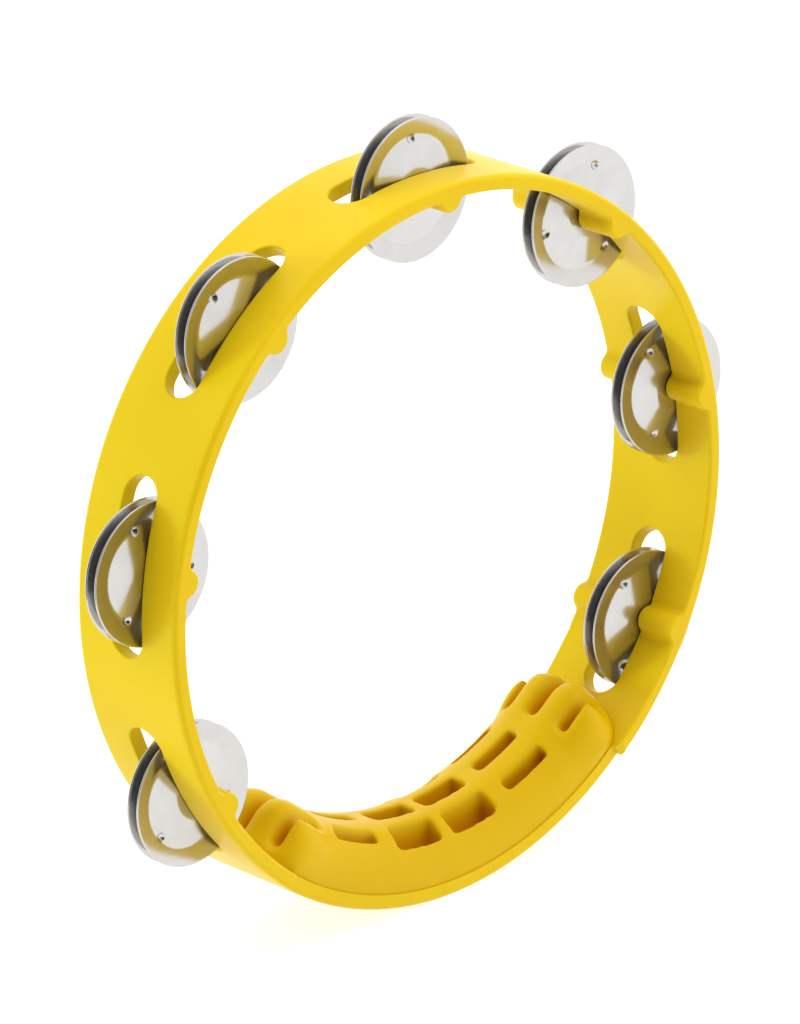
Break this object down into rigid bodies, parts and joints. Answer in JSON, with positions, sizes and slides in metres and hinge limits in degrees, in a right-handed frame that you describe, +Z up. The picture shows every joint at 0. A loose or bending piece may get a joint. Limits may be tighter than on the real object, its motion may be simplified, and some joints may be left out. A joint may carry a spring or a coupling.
{
  "type": "tambourine",
  "caption": "Headless ring tambourine: a moulded plastic band with a cored hand grip and pairs of dished metal jingles on pins in its slots.",
  "frame": {"origin": "on the floor under the middle of the ring, which stands upright on its grip", "axes": "+Z up through the ring's centre, +Y along the ring's axis towards its back (the front faces -Y), +X to the right seen from the front"},
  "size_m": [0.2316, 0.0378, 0.2181],
  "materials": {
    "ring_plastic": "bright yellow moulded plastic, satin gloss",
    "grip_plastic": "bright yellow moulded plastic, satin gloss",
    "jingle_nickel": "nickel-plated pressed sheet steel, polished",
    "pin_steel": "plain drawn steel wire"
  },
  "bodies": {
    "frame": {"ring": "ring_plastic", "grip": "grip_plastic", "pin_1": "pin_steel", "pin_2": "pin_steel", "pin_3": "pin_steel", "pin_4": "pin_steel", "pin_5": "pin_steel", "pin_6": "pin_steel", "pin_7": "pin_steel"},
    "front_jingle_1": {"front_jingle_1": "jingle_nickel"},
    "back_jingle_1": {"back_jingle_1": "jingle_nickel"},
    "front_jingle_2": {"front_jingle_2": "jingle_nickel"},
    "back_jingle_2": {"back_jingle_2": "jingle_nickel"},
    "front_jingle_3": {"front_jingle_3": "jingle_nickel"},
    "back_jingle_3": {"back_jingle_3": "jingle_nickel"},
    "front_jingle_4": {"front_jingle_4": "jingle_nickel"},
    "back_jingle_4": {"back_jingle_4": "jingle_nickel"},
    "front_jingle_5": {"front_jingle_5": "jingle_nickel"},
    "back_jingle_5": {"back_jingle_5": "jingle_nickel"},
    "front_jingle_6": {"front_jingle_6": "jingle_nickel"},
    "back_jingle_6": {"back_jingle_6": "jingle_nickel"},
    "front_jingle_7": {"front_jingle_7": "jingle_nickel"},
    "back_jingle_7": {"back_jingle_7": "jingle_nickel"}
  },
  "joints": [
    {"name": "front_jingle_1_spin", "type": "hinge", "parent": "frame", "child": "front_jingle_1", "pos_m": [-0.08444, 0, 0.0521], "axis": [0, 1, 0], "continuous": true},
    {"name": "back_jingle_1_slide", "type": "slide", "parent": "front_jingle_1", "child": "back_jingle_1", "axis": [0, 1, 0], "range_m": [0, 0.0062]},
    {"name": "front_jingle_2_spin", "type": "hinge", "parent": "frame", "child": "front_jingle_2", "pos_m": [-0.09602, 0, 0.11778], "axis": [0, 1, 0], "continuous": true},
    {"name": "back_jingle_2_slide", "type": "slide", "parent": "front_jingle_2", "child": "back_jingle_2", "axis": [0, 1, 0], "range_m": [0, 0.0062]},
    {"name": "front_jingle_3_spin", "type": "hinge", "parent": "frame", "child": "front_jingle_3", "pos_m": [-0.06267, 0, 0.17554], "axis": [0, 1, 0], "continuous": true},
    {"name": "back_jingle_3_slide", "type": "slide", "parent": "front_jingle_3", "child": "back_jingle_3", "axis": [0, 1, 0], "range_m": [0, 0.0062]},
    {"name": "front_jingle_4_spin", "type": "hinge", "parent": "frame", "child": "front_jingle_4", "pos_m": [0, 0, 0.19835], "axis": [0, 1, 0], "continuous": true},
    {"name": "back_jingle_4_slide", "type": "slide", "parent": "front_jingle_4", "child": "back_jingle_4", "axis": [0, 1, 0], "range_m": [0, 0.0062]},
    {"name": "front_jingle_5_spin", "type": "hinge", "parent": "frame", "child": "front_jingle_5", "pos_m": [0.06267, 0, 0.17554], "axis": [0, 1, 0], "continuous": true},
    {"name": "back_jingle_5_slide", "type": "slide", "parent": "front_jingle_5", "child": "back_jingle_5", "axis": [0, 1, 0], "range_m": [0, 0.0062]},
    {"name": "front_jingle_6_spin", "type": "hinge", "parent": "frame", "child": "front_jingle_6", "pos_m": [0.09602, 0, 0.11778], "axis": [0, 1, 0], "continuous": true},
    {"name": "back_jingle_6_slide", "type": "slide", "parent": "front_jingle_6", "child": "back_jingle_6", "axis": [0, 1, 0], "range_m": [0, 0.0062]},
    {"name": "front_jingle_7_spin", "type": "hinge", "parent": "frame", "child": "front_jingle_7", "pos_m": [0.08444, 0, 0.0521], "axis": [0, 1, 0], "continuous": true},
    {"name": "back_jingle_7_slide", "type": "slide", "parent": "front_jingle_7", "child": "back_jingle_7", "axis": [0, 1, 0], "range_m": [0, 0.0062]}
  ]
}
